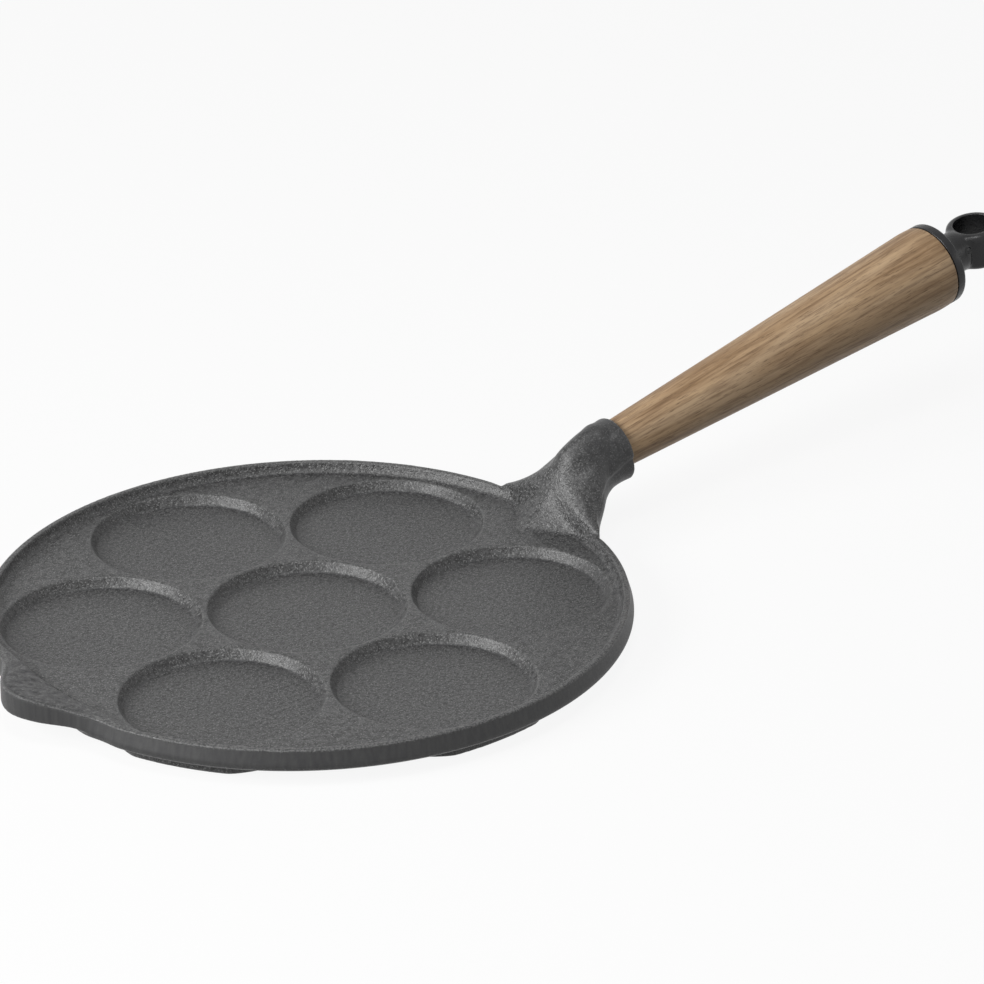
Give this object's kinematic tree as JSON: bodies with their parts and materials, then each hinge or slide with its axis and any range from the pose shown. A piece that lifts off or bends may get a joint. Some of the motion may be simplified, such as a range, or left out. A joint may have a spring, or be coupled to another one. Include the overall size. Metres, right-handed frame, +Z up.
{
  "type": "pancake pan",
  "caption": "Cast iron pancake pan with round wells, a helper lip and a walnut handle that ends in a hanging eye.",
  "frame": {"origin": "middle of the pan on the surface that it stands on, at the underside of the middle well's foot", "axes": "+X from the pan towards the handle, +Z up"},
  "size_m": [0.464, 0.2328, 0.0761],
  "materials": {
    "seasoned_cast_iron": "sand cast, seasoned black",
    "oiled_walnut": "turned and oiled",
    "zinc_plated_steel": "zinc plated",
    "black_iron": "tumbled, black"
  },
  "bodies": {
    "pan": {"pan_casting": "seasoned_cast_iron", "wood_grip": "oiled_walnut", "tie_rod": "zinc_plated_steel"},
    "washer": {"end_washer": "black_iron"},
    "eye": {"hanging_eye": "black_iron"}
  },
  "joints": [
    {"name": "washer_slide", "type": "slide", "parent": "pan", "child": "washer", "axis": [0.9835, 0, 0.1807], "range_m": [0, 0.0075]},
    {"name": "eye_turn", "type": "hinge", "parent": "washer", "child": "eye", "pos_m": [0.30618, 0, 0.06003], "axis": [0.9835, 0, 0.1807], "range_deg": [0, 2165]}
  ],
  "couplings": [
    {"joint": "eye_turn", "follows": "washer_slide", "rad_per_m": 5026.5}
  ]
}
